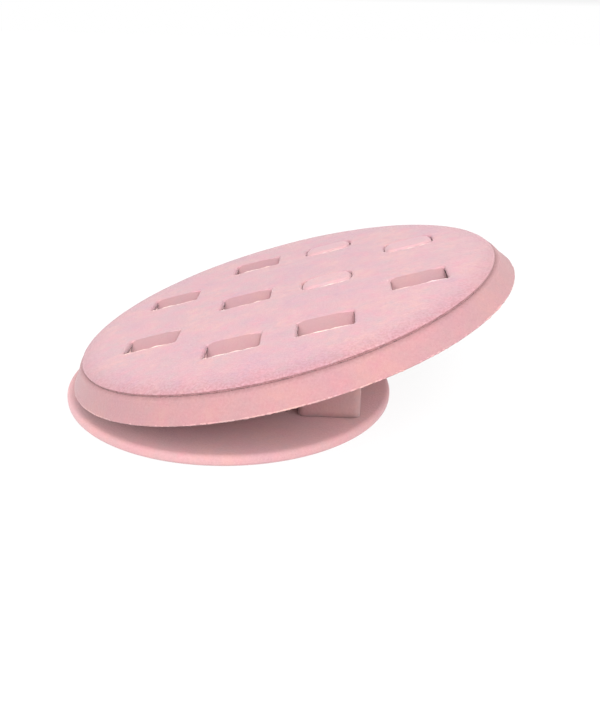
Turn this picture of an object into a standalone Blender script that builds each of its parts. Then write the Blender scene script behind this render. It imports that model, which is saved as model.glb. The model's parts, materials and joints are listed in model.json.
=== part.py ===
"""A tilted round display stand for finger rings.

A thin round base carries an upright block under the high side of a shallow
round tray. The tray is a board with a conical velvet skirt and a soft pad on
top. Ten rectangular pockets go through the pad and the board. In each pocket a
velvet tongue hangs from the far long side on a sprung fold. A ring is slipped
over the tongue, and its band goes down the gaps beside it.

+X runs from the low side of the tray to the high side, +Z is up, and the
origin is the middle of the base's underside. All sizes below are millimetres.
"""

import math

import bmesh
import bpy
from mathutils import Vector

MM = 0.001
GAP = 0.3
ROUND_STEPS = 64
CORNER_STEPS = 3

# Base
BASE_RADIUS = 60.0
BASE_HEIGHT = 4.0
BASE_EDGE = 1.3
BASE_HEM_LOW = 0.1
COVER_THICKNESS = 0.7
FELT_THICKNESS = 0.7
FELT_RADIUS = 56.2

# Tray, measured from the plane of its rim
TILT = math.radians(16.2)
TRAY_OFFSET = 21.8
TRAY_LIFT = 30.0
RIM_RADIUS = 80.3
RIM_ROUND = 0.3
SEAM_RADIUS = 75.3
SEAM_HEIGHT = 7.6
SKIRT_THICKNESS = 0.85
SKIRT_HEM = 4.7
HEM_THICKNESS = 0.8
LINING_THICKNESS = 0.7
BOARD_BOTTOM = 1.3
BOARD_TOP = 5.9

# Pad: a flat middle that falls in a soft dome to the seam
DOME_RISE = 2.2
DOME_POWER = 6.0
DOME_ROUND = 0.88
PAD_TOP = SEAM_HEIGHT + DOME_RISE
PAD_EDGE = 74.9
PAD_STATIONS = (38.0, 50.0, 57.0, 62.0, 66.0, 69.0, 71.5, 73.5)
PAD_COVER_THICKNESS = 0.6
FOAM_EDGE = 73.8

# Neck between base and tray
NECK_MIDDLE = 37.4
NECK_LENGTH = 21.4
NECK_WIDTH = 60.6
NECK_CORNER = 3.0
NECK_WRAP = 0.8

# Pockets: rows run across the slope, two pockets in each row
ROW_PITCH = 22.2
INNER_COLUMN = 15.1
OUTER_COLUMN = 46.4
PATTERN_SHIFT = 1.3
SLOT_LENGTH = 18.5
SLOT_WIDTH = 12.5
SLOT_CORNER = 1.0
LINER_WALL = 1.0
CUTTER_REACH = 5.0

# Tongues
TONGUE_WIDTH = 16.4
TONGUE_THICKNESS = 2.4
TONGUE_GAP = 0.4
TONGUE_ROUND = 1.05
LEAF_THICKNESS = 0.6
LEAF_SIDE_WALL = 1.0
LEAF_TIP_WALL = 0.85
PRESSED_ANGLE = math.radians(30.0)

VELVET = (0.83, 0.50, 0.53)
VELVET_SHADE = (0.76, 0.42, 0.45)


def clear_scene():
    """Remove every object, so that the script can run in any file."""
    for item in list(bpy.data.objects):
        bpy.data.objects.remove(item, do_unlink=True)


def make_material(name, colour, roughness, metallic=0.0):
    """Make a Principled material."""
    material = bpy.data.materials.new(name)
    material.use_nodes = True
    shader = material.node_tree.nodes["Principled BSDF"]
    shader.inputs["Base Color"].default_value = (*colour, 1.0)
    shader.inputs["Roughness"].default_value = roughness
    shader.inputs["Metallic"].default_value = metallic
    return material


def make_object(name, bm, material, parent=None, smooth_angle=35.0):
    """Turn a bmesh into a named object under a parent."""
    bmesh.ops.recalc_face_normals(bm, faces=bm.faces)
    mesh = bpy.data.meshes.new(name)
    bm.to_mesh(mesh)
    bm.free()
    mesh.shade_smooth()
    mesh.set_sharp_from_angle(angle=math.radians(smooth_angle))
    item = bpy.data.objects.new(name, mesh)
    bpy.context.scene.collection.objects.link(item)
    if material is not None:
        mesh.materials.append(material)
    if parent is not None:
        item.parent = parent
    return item


def make_empty(name, location, rotation, parent=None):
    """Make an empty that carries other objects; location is in millimetres."""
    empty = bpy.data.objects.new(name, None)
    bpy.context.scene.collection.objects.link(empty)
    empty.location = Vector(location) * MM
    empty.rotation_euler = rotation
    if parent is not None:
        empty.parent = parent
    return empty


def arc(centre, radii, start, end, steps=CORNER_STEPS):
    """Points on an elliptical arc in the (radius, height) plane; degrees."""
    points = []
    for step in range(steps + 1):
        angle = math.radians(start + (end - start) * step / steps)
        point = (centre[0] + radii[0] * math.cos(angle), centre[1] + radii[1] * math.sin(angle))
        points.append(point)
    return points


def turn(profile):
    """Turn a closed (radius, height) profile round the Z axis.

    A profile that starts and ends on the axis gives a disc or a cap. Any other
    profile is a closed loop and gives a ring.
    """
    bm = bmesh.new()
    on_axis = profile[0][0] == 0.0
    rings = []
    for radius, height in profile:
        if radius == 0.0:
            rings.append([bm.verts.new((0.0, 0.0, height * MM))])
            continue
        ring = []
        for step in range(ROUND_STEPS):
            angle = 2.0 * math.pi * step / ROUND_STEPS
            place = (radius * math.cos(angle) * MM, radius * math.sin(angle) * MM, height * MM)
            ring.append(bm.verts.new(place))
        rings.append(ring)
    pairs = list(zip(rings, rings[1:]))
    if not on_axis:
        pairs.append((rings[-1], rings[0]))
    for first, second in pairs:
        for step in range(ROUND_STEPS):
            after = (step + 1) % ROUND_STEPS
            if len(first) == 1:
                bm.faces.new((first[0], second[step], second[after]))
            elif len(second) == 1:
                bm.faces.new((first[step], second[0], first[after]))
            else:
                bm.faces.new((first[step], second[step], second[after], first[after]))
    return bm


def rounded_rectangle(length, width, corner):
    """Outline of a rectangle with round corners, about the origin."""
    outline = []
    for turn_count, (side_x, side_y) in enumerate(((1, 1), (-1, 1), (-1, -1), (1, -1))):
        centre = (side_x * (length / 2.0 - corner), side_y * (width / 2.0 - corner))
        start = 90.0 * turn_count
        outline += arc(centre, (corner, corner), start, start + 90.0)
    return outline


def add_loop(bm, outline, height):
    """Add an outline's points at a height, which may be a function of x."""
    level = height if callable(height) else lambda x: height
    return [bm.verts.new((x * MM, y * MM, level(x) * MM)) for x, y in outline]


def bridge(bm, lower, upper):
    """Join two loops of equal length with a band of quads."""
    count = len(lower)
    for step in range(count):
        after = (step + 1) % count
        bm.faces.new((lower[step], lower[after], upper[after], upper[step]))


def extrude_solid(outline, bottom, top):
    """A closed solid over an outline."""
    bm = bmesh.new()
    lower = add_loop(bm, outline, bottom)
    upper = add_loop(bm, outline, top)
    bridge(bm, lower, upper)
    bm.faces.new(reversed(lower))
    bm.faces.new(upper)
    return bm


def extrude_tube(outer, inner, bottom, top):
    """A closed wall between two outlines with the same number of points."""
    bm = bmesh.new()
    outer_low = add_loop(bm, outer, bottom)
    outer_high = add_loop(bm, outer, top)
    inner_low = add_loop(bm, inner, bottom)
    inner_high = add_loop(bm, inner, top)
    bridge(bm, outer_low, outer_high)
    bridge(bm, inner_high, inner_low)
    bridge(bm, outer_high, inner_high)
    bridge(bm, inner_low, outer_low)
    return bm


def box(low, high):
    """A box between two corners."""
    bm = bmesh.new()
    bmesh.ops.create_cube(bm, size=1.0)
    for vertex in bm.verts:
        for axis in range(3):
            middle = (low[axis] + high[axis]) / 2.0
            extent = high[axis] - low[axis]
            vertex.co[axis] = (middle + vertex.co[axis] * extent) * MM
    return bm


def cut(item, cutter):
    """Cut one object out of another with a Boolean modifier."""
    cutter.hide_render = True
    cutter.display_type = "WIRE"
    modifier = item.modifiers.new("cut", "BOOLEAN")
    modifier.operation = "DIFFERENCE"
    modifier.solver = "EXACT"
    modifier.object = cutter


def slot_places():
    """Middle of each pocket in the tray's plane, with whether its tongue is up.

    The middle row and the two outermost rows hold their pockets close to the
    tray's line of slope, and the rows between hold theirs far from it. The
    tongues on the high side stand level from the middle row to the back.
    """
    places = []
    for row in range(-2, 3):
        column = OUTER_COLUMN if row % 2 else INNER_COLUMN
        for side in (-1, 1):
            level = side > 0 and row >= 0
            places.append((side * column + PATTERN_SHIFT, row * ROW_PITCH, level))
    return places


def make_slot_cutter(name, length, width, tray):
    """One object holding a cutting prism for every pocket."""
    joined = bmesh.new()
    outline = rounded_rectangle(length, width, SLOT_CORNER)
    for along, across, _ in slot_places():
        prism = extrude_solid(outline, -CUTTER_REACH, PAD_TOP + CUTTER_REACH)
        bmesh.ops.recalc_face_normals(prism, faces=prism.faces)
        bmesh.ops.translate(prism, verts=prism.verts, vec=Vector((along, across, 0.0)) * MM)
        mesh = bpy.data.meshes.new("prism")
        prism.to_mesh(mesh)
        prism.free()
        joined.from_mesh(mesh)
        bpy.data.meshes.remove(mesh)
    return make_object(name, joined, None, tray)


def skirt_radius(height):
    """Outer radius of the conical skirt at a height above the rim."""
    return RIM_RADIUS - (RIM_RADIUS - SEAM_RADIUS) * height / SEAM_HEIGHT


def dome(radius):
    """Height of the pad's upper side at a distance from its middle."""
    share = min(radius / SEAM_RADIUS, 1.0)
    return SEAM_HEIGHT + DOME_RISE * (1.0 - share**DOME_POWER) ** DOME_ROUND


def build_base(velvet, board, felt):
    """The round base: a board, its velvet cover and a felt underside."""
    felt_profile = [(0.0, 0.0), (FELT_RADIUS, 0.0), (FELT_RADIUS, FELT_THICKNESS), (0.0, FELT_THICKNESS)]
    make_object("base_felt", turn(felt_profile), felt)

    board_radius = BASE_RADIUS - COVER_THICKNESS - GAP
    board_low = FELT_THICKNESS + GAP
    board_high = BASE_HEIGHT - COVER_THICKNESS - GAP
    board_profile = [(0.0, board_low), (board_radius, board_low), (board_radius, board_high), (0.0, board_high)]
    make_object("base_board", turn(board_profile), board)

    edge = BASE_EDGE
    inner_radius = BASE_RADIUS - COVER_THICKNESS
    cover_profile = [(0.0, BASE_HEIGHT)]
    cover_profile += arc((BASE_RADIUS - edge, BASE_HEIGHT - edge), (edge, edge), 90.0, 0.0)
    cover_profile += arc((BASE_RADIUS - edge, BASE_HEM_LOW + edge), (edge, edge), 0.0, -90.0)
    cover_profile += [(FELT_RADIUS + GAP, BASE_HEM_LOW), (FELT_RADIUS + GAP, FELT_THICKNESS)]
    cover_profile += [(inner_radius, FELT_THICKNESS), (inner_radius, BASE_HEIGHT - COVER_THICKNESS)]
    cover_profile += [(0.0, BASE_HEIGHT - COVER_THICKNESS)]
    make_object("base_cover", turn(cover_profile), velvet)


def build_neck(velvet, board):
    """The upright block whose top is cut to the tray's slope, and its wrap."""
    def top(x):
        return TRAY_LIFT + (x - TRAY_OFFSET) * math.tan(TILT) - GAP

    bottom = BASE_HEIGHT + GAP

    def shifted(outline):
        return [(x + NECK_MIDDLE, y) for x, y in outline]

    outer = shifted(rounded_rectangle(NECK_LENGTH, NECK_WIDTH, NECK_CORNER))
    inner_corner = NECK_CORNER - NECK_WRAP
    inner = shifted(rounded_rectangle(NECK_LENGTH - 2 * NECK_WRAP, NECK_WIDTH - 2 * NECK_WRAP, inner_corner))
    make_object("neck_wrap", extrude_tube(outer, inner, bottom, top), velvet)

    inset = 2 * (NECK_WRAP + GAP)
    block_corner = NECK_CORNER - NECK_WRAP - GAP
    block = shifted(rounded_rectangle(NECK_LENGTH - inset, NECK_WIDTH - inset, block_corner))
    make_object("neck_block", extrude_solid(block, bottom, top), board)


def build_tray(tray, velvet, board, foam_material, felt):
    """The tray: lining, skirt, board, foam and pad cover, from below to above."""
    hem_radius = RIM_RADIUS - SKIRT_HEM
    lining_radius = hem_radius - GAP
    lining = [(0.0, GAP), (lining_radius, GAP), (lining_radius, GAP + LINING_THICKNESS)]
    lining += [(0.0, GAP + LINING_THICKNESS)]
    make_object("tray_lining", turn(lining), felt, tray)

    top = SEAM_HEIGHT - GAP
    skirt = [(hem_radius, 0.0), (RIM_RADIUS - RIM_ROUND, 0.0), (RIM_RADIUS, RIM_ROUND)]
    skirt += [(skirt_radius(top), top), (skirt_radius(top) - SKIRT_THICKNESS, top)]
    skirt += [(skirt_radius(HEM_THICKNESS) - SKIRT_THICKNESS, HEM_THICKNESS), (hem_radius, HEM_THICKNESS)]
    make_object("skirt_cover", turn(skirt), velvet, tray)

    inside = SKIRT_THICKNESS + GAP
    board_profile = [(0.0, BOARD_BOTTOM), (skirt_radius(BOARD_BOTTOM) - inside, BOARD_BOTTOM)]
    board_profile += [(skirt_radius(BOARD_TOP) - inside, BOARD_TOP), (0.0, BOARD_TOP)]
    tray_board = make_object("tray_board", turn(board_profile), board, tray)

    cover = [(0.0, PAD_TOP)]
    cover += [(radius, dome(radius)) for radius in PAD_STATIONS]
    cover += [(PAD_EDGE, SEAM_HEIGHT)]
    cover_below = [(radius, max(dome(radius) - PAD_COVER_THICKNESS, SEAM_HEIGHT)) for radius in PAD_STATIONS[:-1]]
    cover += reversed(cover_below)
    cover += [(0.0, PAD_TOP - PAD_COVER_THICKNESS)]
    pad_cover = make_object("pad_cover", turn(cover), velvet, tray)

    foam = [(0.0, PAD_TOP - PAD_COVER_THICKNESS - GAP)]
    foam += [(radius, height - GAP) for radius, height in cover_below]
    foam += [(FOAM_EDGE, SEAM_HEIGHT - GAP), (FOAM_EDGE, BOARD_TOP + GAP), (0.0, BOARD_TOP + GAP)]
    pad_foam = make_object("pad_foam", turn(foam), foam_material, tray)

    cut(pad_cover, make_slot_cutter("slot_openings", SLOT_LENGTH, SLOT_WIDTH, tray))
    room = 2.0 * (2.0 * GAP + LINER_WALL)
    window = make_slot_cutter("liner_windows", SLOT_LENGTH + room, SLOT_WIDTH + room, tray)
    cut(tray_board, window)
    cut(pad_foam, window)


def build_clip(number, along, across, level, tray, velvet, liner_material, leaf_material):
    """One pocket: its liner, and the velvet tongue with the stiff leaf inside.

    The tongue turns about the middle of the rounded roll at its far side. Its
    parent empty stands on that line, with X along the fold.
    """
    inner_size = (SLOT_LENGTH + 2.0 * GAP, SLOT_WIDTH + 2.0 * GAP)
    outer_size = (inner_size[0] + 2.0 * LINER_WALL, inner_size[1] + 2.0 * LINER_WALL)
    outer = rounded_rectangle(*outer_size, SLOT_CORNER)
    inner = rounded_rectangle(*inner_size, SLOT_CORNER / 2)
    far_corner = math.hypot(abs(along) + outer_size[0] / 2.0, abs(across) + outer_size[1] / 2.0)
    liner_top = dome(far_corner) - PAD_COVER_THICKNESS - GAP
    liner = make_object(f"pocket_liner_{number}", extrude_tube(outer, inner, BOARD_BOTTOM, liner_top),
                        liner_material, tray)
    liner.location = Vector((along, across, 0.0)) * MM

    roll = TONGUE_THICKNESS / 2.0
    pad_here = dome(math.hypot(along, across))
    fold = (along, across + SLOT_WIDTH / 2.0 - TONGUE_GAP - roll, pad_here - roll)
    angle = 0.0 if level else PRESSED_ANGLE
    hinge = make_empty(f"fold_{number}", fold, (angle, 0.0, 0.0), tray)

    tip = SLOT_WIDTH - 2.0 * TONGUE_GAP - roll
    half = TONGUE_WIDTH / 2.0
    sleeve = box((-half, -tip, -roll), (half, roll, roll))
    bmesh.ops.bevel(sleeve, geom=sleeve.edges[:], offset=TONGUE_ROUND * MM, segments=2, profile=0.5, affect="EDGES")
    cover = make_object(f"tongue_cover_{number}", sleeve, velvet, hinge)

    leaf_half = half - LEAF_SIDE_WALL
    leaf_tip = tip - LEAF_TIP_WALL
    leaf_root = roll / 2.0
    thick = LEAF_THICKNESS / 2.0
    leaf = box((-leaf_half, -leaf_tip, -thick), (leaf_half, leaf_root, thick))
    make_object(f"tongue_leaf_{number}", leaf, leaf_material, hinge)

    hollow = box((-leaf_half - GAP, -leaf_tip - GAP, -thick - GAP), (leaf_half + GAP, 2.0 * roll, thick + GAP))
    cut(cover, make_object(f"leaf_space_{number}", hollow, None, hinge))


def main():
    """Build the whole stand."""
    clear_scene()
    velvet = make_material("velvet", VELVET, 0.9)
    shade = make_material("velvet_liner", VELVET_SHADE, 0.95)
    board = make_material("board", (0.55, 0.42, 0.30), 0.8)
    foam = make_material("foam", (0.92, 0.90, 0.86), 0.95)
    felt = make_material("felt", (0.72, 0.44, 0.47), 0.95)
    plastic = make_material("leaf_plastic", (0.85, 0.85, 0.83), 0.5)

    build_base(velvet, board, felt)
    build_neck(velvet, board)
    tray = make_empty("tray_plane", (TRAY_OFFSET, 0.0, TRAY_LIFT), (0.0, -TILT, 0.0))
    build_tray(tray, velvet, board, foam, felt)
    for number, (along, across, level) in enumerate(slot_places(), start=1):
        build_clip(number, along, across, level, tray, velvet, shade, plastic)
    bpy.context.view_layer.update()


main()
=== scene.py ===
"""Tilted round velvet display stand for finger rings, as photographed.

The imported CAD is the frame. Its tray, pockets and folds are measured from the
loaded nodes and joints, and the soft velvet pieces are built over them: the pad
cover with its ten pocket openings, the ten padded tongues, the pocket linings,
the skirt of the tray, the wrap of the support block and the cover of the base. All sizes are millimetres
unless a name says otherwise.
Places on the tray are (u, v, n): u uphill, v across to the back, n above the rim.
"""

import json
import math
import random

import bmesh
import bpy
import numpy as np
from mathutils import Matrix, Vector, noise
from mathutils.geometry import delaunay_2d_cdt


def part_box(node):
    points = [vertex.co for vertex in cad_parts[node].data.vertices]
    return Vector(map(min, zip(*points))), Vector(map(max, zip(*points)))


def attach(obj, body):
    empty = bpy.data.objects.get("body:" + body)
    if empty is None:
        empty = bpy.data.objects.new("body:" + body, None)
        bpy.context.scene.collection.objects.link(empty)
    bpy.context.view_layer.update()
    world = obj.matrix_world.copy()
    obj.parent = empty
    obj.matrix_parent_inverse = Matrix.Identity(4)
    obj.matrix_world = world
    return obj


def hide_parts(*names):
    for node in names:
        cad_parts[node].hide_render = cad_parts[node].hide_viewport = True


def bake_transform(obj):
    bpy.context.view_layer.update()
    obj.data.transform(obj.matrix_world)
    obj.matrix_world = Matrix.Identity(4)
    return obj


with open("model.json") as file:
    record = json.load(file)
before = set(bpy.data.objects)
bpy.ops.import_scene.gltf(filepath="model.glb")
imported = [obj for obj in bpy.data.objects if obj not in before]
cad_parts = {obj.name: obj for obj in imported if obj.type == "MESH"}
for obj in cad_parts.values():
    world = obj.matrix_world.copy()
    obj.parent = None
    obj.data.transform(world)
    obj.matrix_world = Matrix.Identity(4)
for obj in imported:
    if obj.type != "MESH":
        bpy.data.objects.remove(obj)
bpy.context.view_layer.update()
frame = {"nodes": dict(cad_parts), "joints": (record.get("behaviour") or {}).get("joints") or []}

MM = 0.001
STAND = "stand"
NODES = frame["nodes"]
JOINTS = {joint["child"]: joint for joint in frame["joints"]}
POCKETS = range(1, len(JOINTS) + 1)


# ---------------- the tray's own frame


def node_points(name):
    """Vertices of a CAD node in millimetres, one row each."""
    return np.array([vertex.co for vertex in NODES[name].data.vertices]) / MM


UPHILL = Vector(JOINTS["tongue_1"]["axis"]).normalized()
if UPHILL.x < 0.0:
    UPHILL.negate()
ACROSS = Vector((0.0, 1.0, 0.0))
NORMAL = UPHILL.cross(ACROSS)
AXES = np.array([UPHILL, ACROSS, NORMAL])

skirt_local = node_points("skirt_cover") @ AXES.T
RIM_RADIUS = (skirt_local[:, 0].max() - skirt_local[:, 0].min()) / 2.0
TRAY_CENTRE = np.array([skirt_local[:, 0].max() - RIM_RADIUS, 0.0, skirt_local[:, 2].min()])


def tray_local(points):
    """World millimetres to the tray's (uphill, across, height) millimetres."""
    return np.asarray(points) @ AXES.T - TRAY_CENTRE


def tray_world(points):
    """The tray's millimetres to world metres."""
    return (np.asarray(points, float) + TRAY_CENTRE) @ AXES * MM


pad_local = tray_local(node_points("pad_cover"))
SEAM_HEIGHT = pad_local[pad_local[:, 0] > pad_local[:, 0].max() - 0.5][:, 2].min()
SEAM_RADIUS = pad_local[:, 0].max() + 0.3
liner_local = tray_local(node_points("pocket_liner_1"))
LINER_WALL = 1.0
COVER_EASE = 0.3
SLOT_HALF_LENGTH = np.ptp(liner_local[:, 0]) / 2.0 - LINER_WALL - COVER_EASE
SLOT_HALF_WIDTH = np.ptp(liner_local[:, 1]) / 2.0 - LINER_WALL - COVER_EASE
SLOT_CORNER = 1.0
PILL_CORNER = 4.4
LEVEL_DROP = 4.0
SEARCH_LENGTH = 22.0
SEARCH_WIDTH = 18.0


def pocket_facts(number):
    """Middle of a pocket, its liner's bottom and top, whether its tongue is level, and
    the corner of its opening: the cover is rounder where it still hugs a level tongue."""
    liner = tray_local(node_points(f"pocket_liner_{number}"))
    middle = (liner.max(0) + liner.min(0)) / 2.0
    drop = np.ptp(tray_local(node_points(f"tongue_cover_{number}"))[:, 2])
    level = bool(drop < LEVEL_DROP)
    return {
        "u": middle[0],
        "v": middle[1],
        "bottom": liner[:, 2].min(),
        "top": liner[:, 2].max(),
        "level": level,
        "corner": PILL_CORNER if level else SLOT_CORNER,
    }


POCKET = {number: pocket_facts(number) for number in POCKETS}


# ---------------- small tools


def smoothstep(low, high, value):
    """0 below low, 1 above high, smooth between."""
    t = min(max((value - low) / (high - low), 0.0), 1.0)
    return t * t * (3.0 - 2.0 * t)


def wander(u, v, w, size, seed=0.0):
    """Smooth noise from about -1 to 1 whose lumps are about size millimetres."""
    return noise.noise(Vector((u / size + seed, v / size - seed, w / size + 0.37 * seed)))


def make_piece(name, points, faces, material, body=STAND, in_tray=True):
    """A closed, smooth shaded mesh from millimetre points, riding on a CAD body.
    """
    places = tray_world(points) if in_tray else np.asarray(points, float) * MM
    mesh = bpy.data.meshes.new(name)
    mesh.from_pydata([tuple(place) for place in places], [], [tuple(face) for face in faces])
    mesh.validate()
    bm = bmesh.new()
    bm.from_mesh(mesh)
    bmesh.ops.recalc_face_normals(bm, faces=bm.faces)
    bm.to_mesh(mesh)
    bm.free()
    mesh.shade_smooth()
    mesh.materials.append(material)
    piece = bpy.data.objects.new(name, mesh)
    bpy.context.scene.collection.objects.link(piece)
    if body is not None:
        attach(piece, body)
    return piece


def apply_modifiers(piece):
    """Bake a piece's modifiers into its mesh."""
    graph = bpy.context.evaluated_depsgraph_get()
    baked = bpy.data.meshes.new_from_object(piece.evaluated_get(graph))
    piece.modifiers.clear()
    piece.data = baked


def loop_offset(half_length, half_width, corner, offset, spacing):
    """Points round a rounded rectangle grown by offset, in order."""
    radius = corner + offset
    straight_u = half_length - corner
    straight_v = half_width - corner
    corner_steps = max(int(math.ceil(radius * math.pi / 2.0 / spacing)), 4)
    sides = ((1, 1), (-1, 1), (-1, -1), (1, -1))
    points = []

    def on_corner(side, angle):
        out_u = side[0] * straight_u + radius * math.cos(angle)
        return (out_u, side[1] * straight_v + radius * math.sin(angle))

    for index, side in enumerate(sides):
        for step in range(corner_steps + 1):
            points.append(on_corner(side, math.pi / 2.0 * (index + step / corner_steps)))
        run = 2.0 * straight_u if index % 2 == 0 else 2.0 * straight_v
        steps = int(run / spacing)
        start = points[-1]
        end = on_corner(sides[(index + 1) % 4], math.pi / 2.0 * (index + 1))
        for step in range(1, steps):
            t = step / steps
            points.append((start[0] + (end[0] - start[0]) * t, start[1] + (end[1] - start[1]) * t))
    return points


def outside_opening(u, v, corner):
    """Distance outside a pocket's opening with these corners, from the pocket's middle."""
    over_u = abs(u) - (SLOT_HALF_LENGTH - corner)
    over_v = abs(v) - (SLOT_HALF_WIDTH - corner)
    return math.hypot(max(over_u, 0.0), max(over_v, 0.0)) + min(max(over_u, over_v), 0.0) - corner


def slot_distance(u, v):
    """Distance outside the nearest pocket opening, and that pocket with the local place."""
    best = (1e9, None, 0.0, 0.0)
    for number, pocket in POCKET.items():
        local_u = u - pocket["u"]
        local_v = v - pocket["v"]
        if abs(local_u) > SEARCH_LENGTH or abs(local_v) > SEARCH_WIDTH:
            continue
        distance = outside_opening(local_u, local_v, pocket["corner"])
        if distance < best[0]:
            best = (distance, number, local_u, local_v)
    return best


def band(faces, first, second):
    """Join two closed rings of the same count with four-sided faces."""
    count = len(first)
    for step in range(count):
        after = (step + 1) % count
        faces.append((first[step], first[after], second[after], second[step]))


def capped(rings):
    """Faces that join closed rings in order and close both ends."""
    faces = []
    for one, two in zip(rings, rings[1:]):
        band(faces, one, two)
    faces.append(tuple(rings[0]))
    faces.append(tuple(rings[-1]))
    return faces


def looped(rings):
    """Faces that join closed rings in order, and the last one to the first."""
    faces = []
    for one, two in zip(rings, rings[1:] + rings[:1]):
        band(faces, one, two)
    return faces


# ---------------- materials

# Noise layers of the velvet: lumps per metre, detail, and what maps to 0 and to 1.
PATCHES = (60.0, 3.0, 0.40, 0.60)
BLOTCHES = (150.0, 4.0, 0.38, 0.62)
BRUSHED = (330.0, 3.0, 0.36, 0.64)
FLECKS = (1300.0, 3.0, 0.36, 0.64)
FIBRES = (3200.0, 2.0, 0.30, 0.70)
FLECK_SHARE = 0.30
FIBRE_SHARE = 0.20
FIBRE_HEIGHT = 0.55
BORDER_RAGGED = 0.30
SHEEN = 0.25
VELVET_BUMP = 0.00022
VELVET_BUMP_STRENGTH = 0.35
ROUGHNESS_SPREAD = 0.08


def node_maker(material):
    """A function that adds nodes to a material, and its links."""
    tree = material.node_tree

    def add(kind, **values):
        node = tree.nodes.new(kind)
        for key, value in values.items():
            if key in node.inputs:
                node.inputs[key].default_value = value
            else:
                setattr(node, key, value)
        return node

    return add, tree.links


def new_material(name):
    """An empty Principled material and its shader."""
    material = bpy.data.materials.new(name)
    material.use_nodes = True
    return material, material.node_tree.nodes["Principled BSDF"]


def stretched(add, links, value, low, high):
    """A value stretched so that low maps to 0 and high to 1."""
    stretch = add("ShaderNodeMapRange")
    stretch.inputs["From Min"].default_value = low
    stretch.inputs["From Max"].default_value = high
    links.new(value, stretch.inputs["Value"])
    return stretch.outputs["Result"]


def noise_layer(add, links, source, scale, detail, low, high):
    """Noise stretched so that low maps to 0 and high to 1."""
    texture = add("ShaderNodeTexNoise", Scale=scale, Detail=detail, Roughness=0.55)
    links.new(source, texture.inputs["Vector"])
    return stretched(add, links, texture.outputs["Fac"], low, high)


def blend_colours(add, links, factor, first, second, amount=1.0):
    """Mix two colours or colour outputs by a factor output."""
    if amount != 1.0:
        scaled = add("ShaderNodeMath", operation="MULTIPLY")
        links.new(factor, scaled.inputs[0])
        scaled.inputs[1].default_value = amount
        factor = scaled.outputs[0]
    mix = add("ShaderNodeMix", data_type="RGBA")
    links.new(factor, mix.inputs[0])
    for socket, value in ((mix.inputs[6], first), (mix.inputs[7], second)):
        if isinstance(value, tuple):
            socket.default_value = (*value, 1.0)
        else:
            links.new(value, socket)
    return mix.outputs[2]


def tint(colour, red=1.0, green=1.0, blue=1.0):
    """A colour with its three parts scaled."""
    return (min(colour[0] * red, 1.0), min(colour[1] * green, 1.0), min(colour[2] * blue, 1.0))


def painted_seam_shade(add, links, place, ragged, start, end, power):
    """How much painted shade darkens the colour towards the tray's seam: 0 at a start distance from
    the tray's axis and 1 at the end distance, in millimetres, with a ragged border."""
    shifted = add("ShaderNodeVectorMath", operation="SUBTRACT")
    links.new(place, shifted.inputs[0])
    shifted.inputs[1].default_value = tuple(tray_world((0.0, 0.0, 0.0)))
    outward = add("ShaderNodeVectorMath", operation="CROSS_PRODUCT")
    links.new(shifted.outputs["Vector"], outward.inputs[0])
    outward.inputs[1].default_value = tuple(NORMAL)
    distance = add("ShaderNodeVectorMath", operation="LENGTH")
    links.new(outward.outputs["Vector"], distance.inputs[0])
    near = stretched(add, links, distance.outputs["Value"], start * MM, end * MM)
    torn = add("ShaderNodeMath", operation="MULTIPLY_ADD", use_clamp=True)
    links.new(ragged, torn.inputs[0])
    torn.inputs[1].default_value = -BORDER_RAGGED
    links.new(near, torn.inputs[2])
    shaped = add("ShaderNodeMath", operation="POWER")
    links.new(torn.outputs[0], shaped.inputs[0])
    shaped.inputs[1].default_value = power
    return shaped.outputs[0]


def roughen(add, links, shader, height, strength, distance):
    """A bump of a height output on a shader."""
    bump = add("ShaderNodeBump", Strength=strength)
    bump.inputs["Distance"].default_value = distance
    links.new(height, bump.inputs["Height"])
    links.new(bump.outputs["Normal"], shader.inputs["Normal"])


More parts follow.
